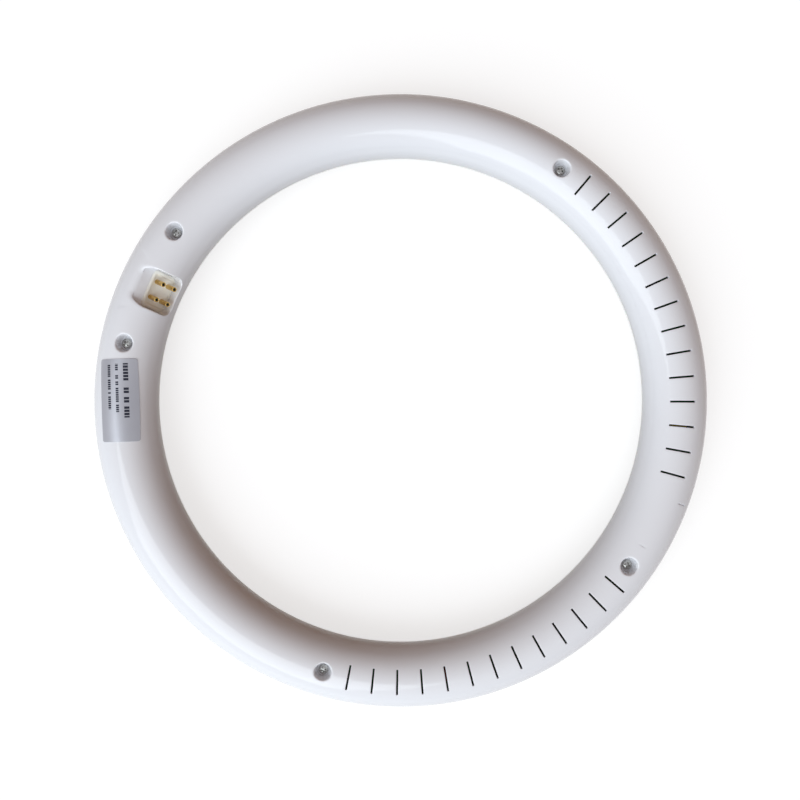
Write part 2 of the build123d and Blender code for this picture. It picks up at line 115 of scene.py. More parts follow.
@dataclass(frozen=True)
class Finish:
    """A surface: what it is made of and how it was made.

    The base colour drifts a little in soft patches, the roughness drifts with them, and a fine
    noise bumps the surface, as moulding or plating leaves it.
    """

    name: str
    colour: str
    roughness: float
    metallic: float = 0.0
    ior: float = 1.5
    shade: str = ""
    patch_mm: float = 30.0
    roughness_drift: float = 0.04
    grain_mm: float = 1.2
    grain_depth_mm: float = 0.0
    translucency: float = 0.0
    translucency_mm: float = 2.0

    def material(self) -> Material:
        """Build the node material of this finish.

        Returns:
            The material, with its even values on the shader's own sockets.
        """
        made = bpy.data.materials.new(self.name)
        made.use_nodes = True
        made.diffuse_color = linear(self.colour)
        tree = made.node_tree
        shader = tree.nodes["Principled BSDF"]
        shader.inputs["Metallic"].default_value = self.metallic
        if not self.metallic:
            shader.inputs["IOR"].default_value = self.ior
        shader.inputs["Subsurface Weight"].default_value = self.translucency
        shader.inputs["Subsurface Scale"].default_value = self.translucency_mm * MM
        self.dress(tree, shader)
        return made

    def place(self, tree: NodeTree) -> Socket:
        """Give the coordinates that the pattern follows."""
        return add_node(tree, "ShaderNodeTexCoord").outputs[Coordinates.OBJECT.value]

    def patches(self, tree: NodeTree, size_mm: float) -> Socket:
        """Give a value that drifts from 0 to 1 in patches about a size across."""
        inputs = {"Vector": self.place(tree), "Scale": 1.0 / (size_mm * MM), "Detail": NOISE_DETAIL}
        return add_node(tree, "ShaderNodeTexNoise", inputs).outputs["Fac"]

    def colours(self, tree: NodeTree) -> Socket:
        """Give the base colour, drifting between the colour and its shade.

        Args:
            tree: node tree of the material.

        Returns:
            The colour.
        """
        tones = {MIX_FIRST: linear(self.colour), MIX_SECOND: linear(self.shade or self.colour)}
        inputs = {"Factor": self.patches(tree, self.patch_mm), **tones}
        return add_node(tree, "ShaderNodeMix", inputs, data_type="RGBA").outputs[MIXED]

    def dress(self, tree: NodeTree, shader: Node) -> None:
        """Link colour, roughness and bump to the shader.

        Args:
            tree: node tree of the material.
            shader: its shader node.
        """
        tree.links.new(self.colours(tree), shader.inputs["Base Color"])
        span = {
            "Value": self.patches(tree, self.patch_mm / 2),
            "To Min": self.roughness - self.roughness_drift,
            "To Max": self.roughness + self.roughness_drift,
        }
        drift = add_node(tree, "ShaderNodeMapRange", span)
        tree.links.new(drift.outputs["Result"], shader.inputs["Roughness"])
        if self.grain_depth_mm:
            grain = {"Height": self.patches(tree, self.grain_mm), "Distance": self.grain_depth_mm * MM}
            bump = add_node(tree, "ShaderNodeBump", {"Strength": 1.0, **grain})
            tree.links.new(bump.outputs["Normal"], shader.inputs["Normal"])


@dataclass(frozen=True)
class PrintLine:
    """A row of plain printed blocks on the label, in millimetres on its map."""

    across: float
    height: float
    start: float
    stop: float
    pitch: float
    seed: float


@dataclass(frozen=True)
class FoilFinish(Finish):
    """Satin aluminium foil with rows of plain printed blocks, on the label's own map in millimetres."""

    print_colour: str = "#33343F"
    lines: tuple[PrintLine, ...] = ()
    block_share: float = 0.78
    gap_share: float = 0.16

    def label_map(self, tree: NodeTree) -> Socket:
        """Give the label's own map, whose unit is a millimetre."""
        return add_node(tree, "ShaderNodeTexCoord").outputs[Coordinates.UV.value]

    def place(self, tree: NodeTree) -> Socket:
        """Give the label's own map in metres."""
        scaled = {0: self.label_map(tree), "Scale": MM}
        return add_node(tree, "ShaderNodeVectorMath", scaled, operation="SCALE").outputs[0]

    def line(self, tree: NodeTree, axes: Node, row: PrintLine) -> Socket:
        """Give where a row is printed: inside its box, in the wide part of its cells, some cells left out.

        Args:
            tree: node tree of the material.
            axes: node with the label's along and across coordinates.
            row: the row of blocks.

        Returns:
            1 where it is printed, else 0.
        """
        along, across = axes.outputs[0], axes.outputs[1]
        middle, half = (row.start + row.stop) / 2, (row.stop - row.start) / 2
        cell = add_node(tree, "ShaderNodeMath", {0: along, 1: row.pitch}, operation="DIVIDE").outputs[0]
        number = add_node(tree, "ShaderNodeMath", {0: cell}, operation="FLOOR").outputs[0]
        number = add_node(tree, "ShaderNodeMath", {0: number, 1: row.seed}, operation="ADD").outputs[0]
        chance = add_node(tree, "ShaderNodeTexWhiteNoise", {"W": number}, noise_dimensions="1D")
        share = add_node(tree, "ShaderNodeMath", {0: cell}, operation="FRACT").outputs[0]
        tests = (
            ("COMPARE", {0: across, 1: row.across, 2: row.height / 2}),
            ("COMPARE", {0: along, 1: middle, 2: half}),
            ("LESS_THAN", {0: share, 1: self.block_share}),
            ("GREATER_THAN", {0: chance.outputs["Value"], 1: self.gap_share}),
        )
        checks = [add_node(tree, "ShaderNodeMath", inputs, operation=test) for test, inputs in tests]
        inside, *others = checks
        for other in others:
            both = {0: inside.outputs[0], 1: other.outputs[0]}
            inside = add_node(tree, "ShaderNodeMath", both, operation="MULTIPLY")
        return inside.outputs[0]

    def colours(self, tree: NodeTree) -> Socket:
        """Give the foil's colour with the printed rows laid over it.

        Args:
            tree: node tree of the material.

        Returns:
            The colour.
        """
        base = super().colours(tree)
        axes = add_node(tree, "ShaderNodeSeparateXYZ", {0: self.label_map(tree)})
        for row in self.lines:
            tones = {MIX_FIRST: base, MIX_SECOND: linear(self.print_colour)}
            inputs = {"Factor": self.line(tree, axes, row), **tones}
            base = add_node(tree, "ShaderNodeMix", inputs, data_type="RGBA").outputs[MIXED]
        return base


# Injection-moulded ABS from a polished mould: bright gloss. Its ripple is drawn coarse enough to show
GLOSS_ABS = Finish(
    "gloss_white_abs",
    "#EDEEF1",
    0.1,
    ior=1.45,
    shade="#EAEBEF",
    patch_mm=60.0,
    roughness_drift=0.02,
    grain_mm=7.0,
    grain_depth_mm=0.004,
)
# Moulded opal polycarbonate: milky, a little soft in its gloss
OPAL = Finish(
    "opal_polycarbonate", "#F1F1EE", 0.3, ior=1.58, shade="#EDEDE9", patch_mm=50.0, translucency=0.15
)
# Moulded PBT insert: off-white to cream, satin. Its grain is drawn coarse enough to show
CREAM_PBT = Finish(
    "cream_pbt_insert", "#F7F7F3", 0.38, shade="#F1EEE2", patch_mm=7.0, grain_mm=0.5, grain_depth_mm=0.008
)
# Drawn brass tube: bright gold, tarnished in small patches
BRASS = Finish(
    "drawn_brass_tube", "#E9CB85", 0.22, metallic=1.0, shade="#BD934A", patch_mm=1.4, roughness_drift=0.08
)
# Painted shade down the hollow pin's bore: nearly black from above, with a dull metal gloss
PAINTED_BORE_SHADE = Finish("pin_bore_painted_shade", "#2A2118", 0.55, metallic=0.4, shade="#15100B", patch_mm=0.8)
# Zinc-plated steel: soft grey shine with cloudy patches
ZINC = Finish(
    "zinc_plated_steel", "#C6C5C2", 0.28, metallic=1.0, shade="#9A9894", patch_mm=1.4, roughness_drift=0.08
)
# Printed aluminium foil: satin, goes light and dark with the tube's curve
FOIL = FoilFinish(
    "satin_aluminium_foil",
    "#C0C0C5",
    0.36,
    metallic=0.7,
    shade="#B2B2B9",
    patch_mm=20.0,
    lines=(
        PrintLine(-3.5, 2.3, -17.6, 8.3, 1.5, 3.0),
        PrintLine(0.7, 1.4, -17.4, 5.6, 1.0, 11.0),
        PrintLine(4.5, 1.4, -17.0, 4.2, 1.0, 23.0),
    ),
)

# White solder mask on the light board: bright and half matt, to throw the light out
WHITE_MASK = Finish("led_board_white_solder_mask", "#E9E9E4", 0.45, shade="#E2E2DA", patch_mm=18.0)
# Green solder mask: deep green with a thin gloss, in slightly uneven patches
GREEN_MASK = Finish("board_green_solder_mask", "#2C6B3C", 0.4, shade="#235A32", patch_mm=4.0)
# Silicone filled with phosphor: warm yellow, smooth
PHOSPHOR = Finish("led_phosphor_silicone", "#E6D46A", 0.35, shade="#DDC85A", patch_mm=2.0)
# Fired ceramic tube: sandy and matt
CERAMIC = Finish("fuse_ceramic", "#D2C8AC", 0.6, shade="#C4B898", patch_mm=3.0)
# Dipped epoxy: strong blue with a wet gloss
BLUE_EPOXY = Finish("varistor_dipped_epoxy", "#1F4A94", 0.3, shade="#1B3F80", patch_mm=3.0)
# Moulded polyester case: brick red, satin
RED_CASE = Finish("film_capacitor_case", "#9C3226", 0.4, shade="#8A2A20", patch_mm=5.0)
# Sintered ferrite: near black, dull, with a grain like fine sand
FERRITE = Finish(
    "sintered_ferrite", "#2A2A2C", 0.65, shade="#232325", patch_mm=1.5, grain_mm=0.4, grain_depth_mm=0.02
)
# Moulded epoxy resin: black, half matt
RESIN = Finish("moulded_black_resin", "#1B1B1C", 0.5, shade="#222223", patch_mm=2.0)
# Shrunk PVC sleeve on an aluminium can: dark blue with a tight gloss
SLEEVE = Finish("shrink_sleeved_can", "#23263A", 0.3, shade="#1D2033", patch_mm=6.0)
# Moulded nylon: natural cream, satin
NYLON = Finish("bobbin_nylon", "#DAD6C6", 0.5, shade="#D0CBB8", patch_mm=3.0)
# Polyester tape over the winding: smooth yellow
TAPE = Finish("winding_polyester_tape", "#D8B23C", 0.25, shade="#CDA632", patch_mm=3.0)
# Punched brass strip: plain yellow metal, a little tarnished
BRASS_STRIP = Finish("bridge_brass_strip", "#C9A65A", 0.35, metallic=1.0, shade="#B99347", patch_mm=2.0)
# Extruded PVC on the leads: plain colours with a waxy gloss
RED_PVC = Finish("lead_red_pvc", "#A32222", 0.45, shade="#961E1E", patch_mm=5.0)
WHITE_PVC = Finish("lead_white_pvc", "#E2E2DE", 0.45, shade="#D8D8D2", patch_mm=5.0)
BLACK_PVC = Finish("lead_black_pvc", "#1C1C1C", 0.45, shade="#232323", patch_mm=5.0)

INNER_FINISHES: dict[Finish, tuple[str, ...]] = {
    WHITE_MASK: ("led_board",),
    PHOSPHOR: ("led_packages",),
    GREEN_MASK: ("input_board", "driver_board"),
    CERAMIC: ("fuse",),
    BLUE_EPOXY: ("varistor",),
    RED_CASE: ("film_capacitor",),
    FERRITE: ("filter_choke", "transformer_core"),
    RESIN: ("bridge_rectifier", "driver_chip", "output_diode"),
    SLEEVE: ("bulk_capacitor", "output_capacitor"),
    NYLON: ("transformer_bobbin",),
    TAPE: ("transformer_winding",),
    BRASS_STRIP: ("pin_bridge_1", "pin_bridge_2"),
    WHITE_PVC: ("input_lead_1", "input_lead_2"),
    RED_PVC: ("link_lead_1", "led_lead_1"),
    BLACK_PVC: ("link_lead_2", "led_lead_2"),
}


def full_turn(count: int) -> Array:
    """Give even angles round a full turn, from 0."""
    return np.linspace(0.0, 2 * np.pi, count, endpoint=False)


def ring(reach: Array | float, bearing: Array, height: Array | float) -> Array:
    """Give points round an upright axis: reach times cosine, reach times sine, and the height."""
    return np.stack(np.broadcast_arrays(reach * np.cos(bearing), reach * np.sin(bearing), height), axis=-1)


def turned(plan: Array, angle: float) -> Array:
    """Turn points of the plan round the ring's axis by an angle in radians."""
    return plan @ np.array([[cos(angle), sin(angle)], [-sin(angle), cos(angle)]])


def bisect(low: Array, high: Array, inside: Callable[[Array], Array], steps: int = 40) -> Array:
    """Find where a test along each ray turns from inside to outside.

    Args:
        low: shares of the rays that are inside.
        high: shares of the rays that are outside.
        inside: function from shares to truth values.
        steps: number of halvings.

    Returns:
        The share of each ray at the boundary.
    """
    for _ in range(steps):
        middle = (low + high) / 2
        within = inside(middle)
        low = np.where(within, middle, low)
        high = np.where(within, high, middle)
    return (low + high) / 2


def rounded_box(plan: Array, half: Pair, corner: Array | float) -> Array:
    """Give the distance outside a rectangle with rounded corners.

    It is the distance to the rectangle that is smaller by the corner radius, less that radius.

    Args:
        plan: points, with a last axis of two.
        half: half the rectangle's sides.
        corner: radius of its corners.

    Returns:
        The distances, below 0 inside.
    """
    beyond = np.abs(plan) - np.array(half) + np.asarray(corner)[..., None]
    outside = np.hypot(*np.moveaxis(np.maximum(beyond, 0.0), -1, 0))
    return outside + np.minimum(beyond.max(axis=-1), 0.0) - corner


def rounded_edge(outer: Array, corner: Array, inner: Array, count: int) -> list[Array]:
    """Round a corner with rows along a quadratic curve from one side to the other."""
    shares = np.linspace(0.0, 1.0, count)
    return [(1 - t) ** 2 * outer + 2 * t * (1 - t) * corner + t**2 * inner for t in shares]


def along_bend(start: Array, bend: Array, end: Array, distance: Array) -> Array:
    """Give points at a distance along two straight runs: start to bend, then bend to end.

    Args:
        start: where each path starts.
        bend: where its first run ends.
        end: where its second run ends.
        distance: distance along each path.

    Returns:
        A point of each path.
    """
    first, second = (np.linalg.norm(run, axis=1) for run in (bend - start, end - bend))
    down = np.clip(distance / np.maximum(first, TINY), 0.0, 1.0)[:, None]
    on = np.clip((distance - first) / np.maximum(second, TINY), 0.0, 1.0)[:, None]
    return start + (bend - start) * down + (end - bend) * on


@dataclass(frozen=True)
class TubeArc:
    """Half of the tube's round section carried round the ring.

    A point at turn u and section angle v lies at radius R + r cos v and height c + r sin v.
    """

    ring_radius: float
    radius: float
    centre: float

    def points(self, turn: Array, section: Array, skin: float = 0.0) -> Array:
        """Work out points on the tube.

        Args:
            turn: angles round the ring, in radians.
            section: angles round the section, in radians, from outward over the top.
            skin: distance outside the tube's surface.

        Returns:
            Points with a last axis of three.
        """
        radius = self.radius + skin
        reach, height = self.ring_radius + radius * np.cos(section), self.centre + radius * np.sin(section)
        return ring(reach, turn, height)

    def on_top(self, plan: Array, skin: float = 0.0) -> Array:
        """Lift points of the plan on to the upper surface: to c plus the root of r squared less x squared.

        Args:
            plan: points, with a last axis of two.
            skin: distance outside the tube's surface.

        Returns:
            Points with a last axis of three.
        """
        offset = np.hypot(plan[..., 0], plan[..., 1]) - self.ring_radius
        height = self.centre + np.sqrt(np.maximum((self.radius + skin) ** 2 - offset**2, 0.0))
        return np.concatenate([plan, height[..., None]], axis=-1)

    def level(self, points: Array) -> Array:
        """Give each point's distance from the section's middle, less the radius: below 0 inside."""
        offset = np.hypot(points[..., 0], points[..., 1]) - self.ring_radius
        return np.hypot(offset, points[..., 2] - self.centre) - self.radius


@dataclass
class Shell:
    """Quads gathered from grids and strips into one mesh."""

    blocks: list[Array] = field(default_factory=list)
    quads: list[Array] = field(default_factory=list)
    count: int = 0

    def add(self, points: Array) -> Array:
        """Add points.

        Args:
            points: places, with a last axis of three.

        Returns:
            Their numbers in the same layout.
        """
        flat = points.reshape(-1, 3)
        numbers = np.arange(self.count, self.count + len(flat)).reshape(points.shape[:-1])
        self.blocks.append(flat)
        self.count += len(flat)
        return numbers

    def link(self, rows: Array, wrap: bool = True, flip: bool = False, keep: Array | None = None) -> None:
        """Join neighbouring rows of numbered points with quads.

        Args:
            rows: point numbers, one row per line of points.
            wrap: whether the last column meets the first.
            flip: whether the faces are turned over.
            keep: truth value of each quad, to leave some out.
        """
        after = np.roll(rows, -1, axis=1)
        faces = np.stack([rows[:-1], after[:-1], after[1:], rows[1:]], axis=-1)
        faces = faces if wrap else faces[:, :-1]
        faces = faces[..., ::-1] if flip else faces
        self.quads.append(faces[keep] if keep is not None else faces.reshape(-1, 4))

    def cap(self, row: Array, flip: bool = False) -> None:
        """Close a row of numbered points with quads folded across it."""
        half = len(row) // 2
        self.link(np.stack([row[:half], row[::-1][:half]]), wrap=False, flip=flip)

    def close(self, lines: Array, flip: bool = False) -> None:
        """Join closed lines of points in order and cap both ends.

        Args:
            lines: the points of each line.
            flip: whether the faces are turned over.
        """
        numbers = self.add(lines)
        self.link(numbers, flip=flip)
        self.cap(numbers[0], flip=not flip)
        self.cap(numbers[-1], flip=flip)

    def points(self, numbers: Array) -> Array:
        """Give the places of numbered points."""
        return np.concatenate(self.blocks)[numbers]

    def build(self, name: str, materials: list[Material], sharp: float = 32.0) -> Object:
        """Make the mesh object.

        Args:
            name: name of the piece.
            materials: its materials, of which the first is used all over.
            sharp: angle in degrees above which an edge stays sharp.

        Returns:
            The object, at the origin.
        """
        mesh = bpy.data.meshes.new(name)
        mesh.from_pydata(np.concatenate(self.blocks).tolist(), [], np.concatenate(self.quads).tolist())
        mesh.validate()
        mesh.shade_smooth()
        mesh.set_sharp_from_angle(angle=radians(sharp))
        for material in materials:
            mesh.materials.append(material)
        made = bpy.data.objects.new(name, mesh)
        bpy.context.scene.collection.objects.link(made)
        return made


def mount(piece: Object, node: str) -> Object:
    """Let a piece ride on the lamp and stand for a CAD node, which is hidden.

    Args:
        piece: the new piece.
        node: name of the node.

    Returns:
        The piece.
    """
    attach(piece, BODY)
    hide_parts(node)
    LOG.info("%s: %d faces", piece.name, len(piece.data.polygons))
    return piece


@dataclass(frozen=True)
class RingSizes:
    """Sizes that the pieces share, in metres and degrees, the same as in the CAD model."""

    ring_radius: float = 134.25 * MM
    tube_half: float = 15.25 * MM
    back_rise: float = 16.5 * MM
    front_depth: float = 14.5 * MM
    wall: float = 1.8 * MM
    screw_turns: tuple[float, ...] = (-12.5, 12.5, 98.2, 168.2, 259.4)
    screw_seat: float = 24.8 * MM
    pocket_tilt: float = 45.0
    pocket_floor: float = 8.75 * MM

    def arc(self, rise: float) -> TubeArc:
        """Give the arc of a half section that rises, or drops, by an amount from the seam."""
        # Through the crown and both seam edges: half width squared plus rise squared, over twice the rise
        radius = (self.tube_half**2 + rise**2) / (2 * abs(rise))
        return TubeArc(self.ring_radius, radius, self.front_depth + rise - np.sign(rise) * radius)

    def tilted(self, plan: Array, level: Array | float) -> Array:
        """Place points of the plug pocket, whose slope and pin axis are turned up by its tilt.

        Args:
            plan: places along the tube and up the slope, with a last axis of two.
            level: distance along the pin axis.

        Returns:
            Points with a last axis of three.
        """
        rise, run = sin(radians(self.pocket_tilt)), cos(radians(self.pocket_tilt))
        outward = self.ring_radius + plan[..., 1] * run - level * rise
        upward = self.front_depth + plan[..., 1] * rise + level * run
        return np.stack([outward, -plan[..., 0], upward], axis=-1)


def close_seam(
    shell: Shell, sizes: RingSizes, skins: list[Array], steps: tuple[Pair, ...], upper: bool
) -> None:
    """Join an outer and an inner skin along both edges of a half shell through stepped rings.

    Args:
        shell: mesh with the two skins.
        sizes: the lamp's sizes.
        skins: point numbers of the outer and the inner skin.
        steps: millimetres of each ring from the tube's middle line, and above the seam.
        upper: whether it is the back half.
    """
    outer, inner = skins
    for row, side in ((0, 1.0), (-1, -1.0)):
        rows = [outer[row]]
        for offset, rise in steps:
            reach, height = sizes.ring_radius + side * offset * MM, sizes.front_depth + rise * MM
            rows.append(shell.add(ring(reach, full_turn(outer.shape[1]), height)))
        shell.link(np.stack([*rows, inner[row]]), flip=upper == (row == 0))


@dataclass(frozen=True)
class Window:
    """A rectangle of grid cells that a feature's strip takes the place of."""

    first: int
    last: int
    low: int
    high: int

    def rim(self) -> tuple[Array, Array]:
        """Walk round the window.

        Returns:
            The columns and the rows of the points on its rim, in order.
        """
        wide, tall = self.last - self.first, self.high - self.low
        columns = [
            np.arange(self.first, self.last),
            np.full(tall, self.last),
            np.arange(self.last, self.first, -1),
            np.full(tall, self.first),
        ]
        rows = [
            np.full(wide, self.low),
            np.arange(self.low, self.high),
            np.full(wide, self.high),
            np.arange(self.high, self.low, -1),
        ]
        return np.concatenate(columns), np.concatenate(rows)


@dataclass(frozen=True)
class Nick:
    """A shallow blind cut where a slot was closed up: its turn in degrees, its sizes in metres."""

    turn: float
    middle: float
    length: float
    width: float
    depth: float


@dataclass
class BackHousing:
    """Moulded back half: outer and inner skins with wells, vents and the plug pocket between them.

    A skirt gives shares of the way from a window's rim to a feature, for the rows of points between.
    """

    sizes: RingSizes
    finish: Finish
    columns: int = 720
    rows: int = 44
    rim_lip: tuple[Pair, ...] = ((15.1, 0.0), (14.05, 0.0), (14.05, -1.6), (13.2, -1.6), (13.3, 0.1))
    vent_turns: tuple[tuple[float, int], ...] = ((133.5, 13), (221.45, 14))
    vent_pitch: float = 5.0
    vent_length: float = 12.0 * MM
    vent_width: float = 0.9 * MM
    vent_round: float = 0.18 * MM
    vent_window: Pair = (1.0, 7.4 * MM)
    slot_skirt: float = 0.6
    slot_edge_rows: int = 4
    nicks: tuple[Nick, ...] = (
        Nick(183.8, 8.85 * MM, 4.3 * MM, 0.55 * MM, 0.5 * MM),
        Nick(173.1, -0.3 * MM, 3.8 * MM, 0.22 * MM, 0.12 * MM),
    )
    nick_margin: float = 1.0 * MM
    nick_edge_share: float = 0.25
    nick_taper: float = 0.8
    well_round: float = 0.8 * MM
    well_mouth: float = 4.2 * MM
    well_floor: float = 3.2 * MM
    well_depth: float = 6.2 * MM
    well_bottom: float = 2.0 * MM
    well_wall: float = 1.4 * MM
    well_hole: float = 1.45 * MM
    well_window: Pair = (3.0, 7.1 * MM)
    well_skirt: Shares = (0.4, 0.75)
    well_wall_rows: Shares = (0.33, 0.67, 1.0)
    well_passes: int = 4
    lip_edge_rows: int = 7
    pocket_half: Pair = (9.4 * MM, 10.25 * MM)
    pocket_middle: float = 4.25 * MM
    pocket_corner: float = 4.0 * MM
    pocket_outer_corner: float = 7.0 * MM
    pocket_draft: float = 2.0
    pocket_window: tuple[float, float, float] = (6.0, 59.0, 173.0)
    pocket_hub: float = 2.6 * MM
    pocket_levels: Pair = (2.0 * MM, 30.0 * MM)
    pocket_skirt: Shares = (0.3, 0.55, 0.8)
    pocket_wall_rows: Shares = (0.35, 0.7, 1.0)
    pocket_floor_rows: Shares = (0.25, 0.6, 1.0)
    pocket_least_wall: float = 0.05 * MM
    pocket_least_floor: float = 0.02 * MM
    lip_round: float = 0.5 * MM
    lip_outer_round: float = 2.2 * MM
    lip_outer_ramp: Pair = (1.6, 0.35)
    lip_skin_share: float = 0.6
    lip_wall_share: float = 0.35
    opening_half: Pair = (9.33 * MM, 6.6 * MM)
    opening_middle: float = 0.675 * MM
    opening_corner: float = 2.2 * MM
    opening_most: float = 0.99
    shell: Shell = field(default_factory=Shell)

    def __post_init__(self) -> None:
        """Lay the outer and inner skins' points."""
        self.arc = self.sizes.arc(self.sizes.back_rise)
        start = np.arcsin((self.sizes.front_depth - self.arc.centre) / self.arc.radius)
        turn = full_turn(self.columns)[None, :]
        self.section = np.linspace(start, np.pi - start, self.rows + 1)[:, None]
        self.outer = self.shell.add(self.arc.points(turn, self.section))
        self.inner = self.shell.add(self.arc.points(turn, self.section, -self.sizes.wall))
        self.keep_outer = np.ones((self.rows, self.columns), bool)
        self.keep_inner = np.ones((self.rows, self.columns), bool)

    def window(self, middle: float, half: float, low: float, high: float, through: bool = True) -> Window:
        """Cut a window out of the skins.

        Args:
            middle: angle round the ring, in degrees.
            half: half its width, in degrees.
            low: section angle where it starts, in radians.
            high: section angle where it ends, in radians.
            through: whether the inner skin is cut too.

        Returns:
            The window, on whole grid lines.
        """
        step = 360.0 / self.columns
        angles = self.section[:, 0]
        cut = Window(
            int(np.floor((middle - half) / step)),
            int(np.ceil((middle + half) / step)),
            int(np.searchsorted(angles, low)) - 1,
            int(np.searchsorted(angles, high)),
        )
        cells = np.arange(cut.first, cut.last) % self.columns
        self.keep_outer[cut.low : cut.high, cells] = False
        if through:
            self.keep_inner[cut.low : cut.high, cells] = False
        return cut

    def crown_window(self, middle: float, size: Pair) -> Window:
        """Cut a window over the crown, with its half width in degrees and its half length across."""
        low = np.arccos(size[1] / self.arc.radius)
        return self.window(middle, size[0], low, np.pi - low)

    def rims(self, cut: Window) -> tuple[Array, Array]:
        """Give the numbers of the points round a window on the outer and the inner skin."""
        columns, rows = cut.rim()
        return self.outer[rows, columns % self.columns], self.inner[rows, columns % self.columns]

    def strip(self, cut: Window, rows: list[Array]) -> None:
        """Join the outer rim to the inner rim of a window through rows of new points."""
        outer, inner = self.rims(cut)
        self.shell.link(np.stack([outer, *(self.shell.add(row) for row in rows), inner]))

    def local_plan(self, numbers: Array, angle: float) -> Array:
        """Give points' places in plan, from the tube's middle line at an angle, X outward."""
        plan = turned(self.shell.points(numbers)[:, :2], -angle)
        return plan - np.array([self.sizes.ring_radius, 0.0])

    def placed(self, plan: Array, angle: float) -> Array:
        """Put local points of the plan at their angle round the ring."""
        return turned(plan + np.array([self.sizes.ring_radius, 0.0]), angle)

    def lift(self, plan: Array, angle: float, skin: float = 0.0) -> Array:
        """Lift local points of the plan on to a skin."""
        return self.arc.on_top(self.placed(plan, angle), skin)

    def at_height(self, plan: Array, height: Array | float, angle: float) -> Array:
        """Give local points of the plan at a height."""
        level = np.broadcast_to(height, (len(plan), 1))
        return np.concatenate([self.placed(plan, angle), level], axis=-1)

    def slot_rows(
        self, cut: Window, angle: float, middle: float, half: Array, edge: float
    ) -> tuple[list[Array], Array]:
        """Lay rows from a window's rim to a slot, over its rounded edge.

        The rim's place in the window, from -1 to 1 each way, is carried on to the slot's rectangle.

        Args:
            cut: the window round the slot.
            angle: the slot's place round the ring, in radians.
            middle: the slot's middle, outward from the tube's middle line.
            half: half the slot's length across the tube, and half its width.
            edge: radius of its edge.

        Returns:
            The rows down to the start of the slot's wall, and the slot's outline in local plan.
        """
        columns, rows = cut.rim()
        across = 1.0 - 2.0 * (rows - cut.low) / (cut.high - cut.low)
        along = 2.0 * (columns - cut.first) / (cut.last - cut.first) - 1.0
        unit = np.stack([across, along], axis=-1)
        rim = self.local_plan(self.rims(cut)[0], angle)
        outline = unit * half + np.array([middle, 0.0])
        wide = unit * (half + edge) + np.array([middle, 0.0])
        top = self.lift(outline, angle)
        side = top - np.array([0.0, 0.0, edge])
        skirt = self.lift(rim + (wide - rim) * self.slot_skirt, angle)
        return [skirt, *rounded_edge(self.lift(wide, angle), top, side, self.slot_edge_rows)], outline

    def vent(self, degrees_round: float) -> None:
        """Cut one vent slot: a rounded edge, straight walls, and out on the inner skin.

        Args:
            degrees_round: the slot's place round the ring.
        """
        angle = radians(degrees_round)
        cut = self.crown_window(degrees_round, self.vent_window)
        half = np.array([self.vent_length, self.vent_width]) / 2
        made, outline = self.slot_rows(cut, angle, 0.0, half, self.vent_round)
        self.strip(cut, [*made, self.lift(outline, angle, -self.sizes.wall)])

    def nick(self, nick: Nick) -> None:
        """Cut a nick: a rounded edge, walls that narrow, and a floor along the skin.

        Args:
            nick: its place and size.
        """
        angle = radians(nick.turn)
        reach = nick.length / 2 + self.nick_margin
        low, high = (np.arccos((nick.middle + end) / self.arc.radius) for end in (reach, -reach))
        cut = self.window(nick.turn, self.vent_window[0], low, high, through=False)
        half = np.array([nick.length, nick.width]) / 2
        made, outline = self.slot_rows(cut, angle, nick.middle, half, nick.width * self.nick_edge_share)
        made.append(self.lift(outline * np.array([1.0, self.nick_taper]), angle, -nick.depth))
        numbers = [self.rims(cut)[0], *(self.shell.add(row) for row in made)]
        self.shell.link(np.stack(numbers))
        self.shell.cap(numbers[-1])

    def well(self, degrees_round: float) -> None:
        """Sink one screw well: a rounded mouth, a tapered wall, a floor with a hole, and its tube inside.

        The wall's radius grows from the floor's by its slope times the height over the floor. Where the
        wall meets the skin, radius and height depend on each other, and a few passes settle them.

        Args:
            degrees_round: the well's place round the ring.
        """
        angle = radians(degrees_round)
        cut = self.crown_window(degrees_round, self.well_window)
        rim = self.local_plan(self.rims(cut)[0], angle)
        unit = rim / np.hypot(rim[:, :1], rim[:, 1:])
        seat = self.sizes.screw_seat
        slope = (self.well_mouth - self.well_floor) / self.well_depth
        radius = np.full((len(rim), 1), self.well_mouth)
        for _ in range(self.well_passes):
            radius = self.well_floor + slope * (self.lift(unit * radius, angle)[:, 2:] - seat)
        wide = unit * (radius + self.well_round)
        mouth = self.lift(unit * radius, angle)
        below = mouth[:, 2:] - self.well_round
        wall = self.at_height(unit * (self.well_floor + slope * (below - seat)), below, angle)
        foot = self.at_height(unit * self.well_floor, seat, angle)
        bottom = seat - self.well_bottom
        tube = unit * (self.well_floor + self.well_wall)
        made = [self.lift(rim + (wide - rim) * share, angle) for share in self.well_skirt]
        made += rounded_edge(self.lift(wide, angle), mouth, wall, self.lip_edge_rows)
        made += [wall + (foot - wall) * share for share in self.well_wall_rows]
        made += [
            self.at_height(unit * self.well_hole, seat, angle),
            self.at_height(unit * self.well_hole, bottom, angle),
            self.at_height(tube, bottom, angle),
            self.lift(tube, angle, -self.sizes.wall),
        ]
        self.strip(cut, made)

    def pocket_plan(self, points: Array) -> Array:
        """Give points' places along the tube and up the pocket's slope.

        Args:
            points: places, with a last axis of three.

        Returns:
            Places with a last axis of two.
        """
        tilt = radians(self.sizes.pocket_tilt)
        outward = points[..., 0] - self.sizes.ring_radius
        upward = points[..., 2] - self.sizes.front_depth
        return np.stack([-points[..., 1], outward * cos(tilt) + upward * sin(tilt)], axis=-1)

    def pocket_outside(self, plan: Array) -> Array:
        """Give the distance of points outside the pocket floor's outline, rounder at its outer end.

        Args:
            plan: places along the tube and up the slope.

        Returns:
            The distances, below 0 inside.
        """
        local = plan - np.array([0.0, self.pocket_middle])
        corner = np.where(local[..., 1] > 0, self.pocket_outer_corner, self.pocket_corner)
        return rounded_box(local, self.pocket_half, corner)

